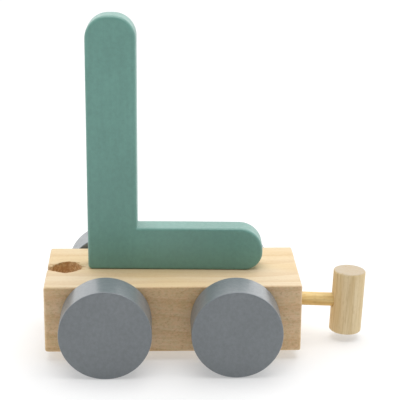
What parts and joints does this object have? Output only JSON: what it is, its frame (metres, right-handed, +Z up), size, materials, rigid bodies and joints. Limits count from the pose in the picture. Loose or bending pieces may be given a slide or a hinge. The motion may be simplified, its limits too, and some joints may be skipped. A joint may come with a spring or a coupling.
{
  "type": "wooden toy train wagon",
  "caption": "Wooden name-train wagon: a pine block on disc wheels with a letter-shaped board on top, a coupling hole at one end and a T-shaped coupling peg at the other.",
  "frame": {"origin": "on the ground, under the middle of the overall length and width", "axes": "+X along the wagon towards the coupling peg, +Y to the wagon's left, +Z up"},
  "size_m": [0.0794, 0.0492, 0.0822],
  "materials": {
    "pine": "sanded, unvarnished",
    "green_painted_wood": "satin paint, mint green",
    "grey_painted_wood": "satin paint, mid grey",
    "pale_dowel": "sanded, unvarnished",
    "bamboo": "smooth, unvarnished"
  },
  "bodies": {
    "wagon": {"chassis_block": "pine", "letter_upright": "green_painted_wood", "coupling_rod": "bamboo", "coupling_head": "pale_dowel", "letter_dowel_rear": "pale_dowel", "letter_dowel_front": "pale_dowel"},
    "rear_wheelset": {"rear_axle": "pale_dowel", "wheel_rear_left": "grey_painted_wood", "wheel_rear_right": "grey_painted_wood"},
    "front_wheelset": {"front_axle": "pale_dowel", "wheel_front_left": "grey_painted_wood", "wheel_front_right": "grey_painted_wood"}
  },
  "joints": [
    {"name": "rear_axle_spin", "type": "hinge", "parent": "wagon", "child": "rear_wheelset", "pos_m": [-0.02475, 0, 0.011], "axis": [0, 1, 0], "continuous": true},
    {"name": "front_axle_spin", "type": "hinge", "parent": "wagon", "child": "front_wheelset", "pos_m": [0.00625, 0, 0.011], "axis": [0, 1, 0], "continuous": true}
  ]
}
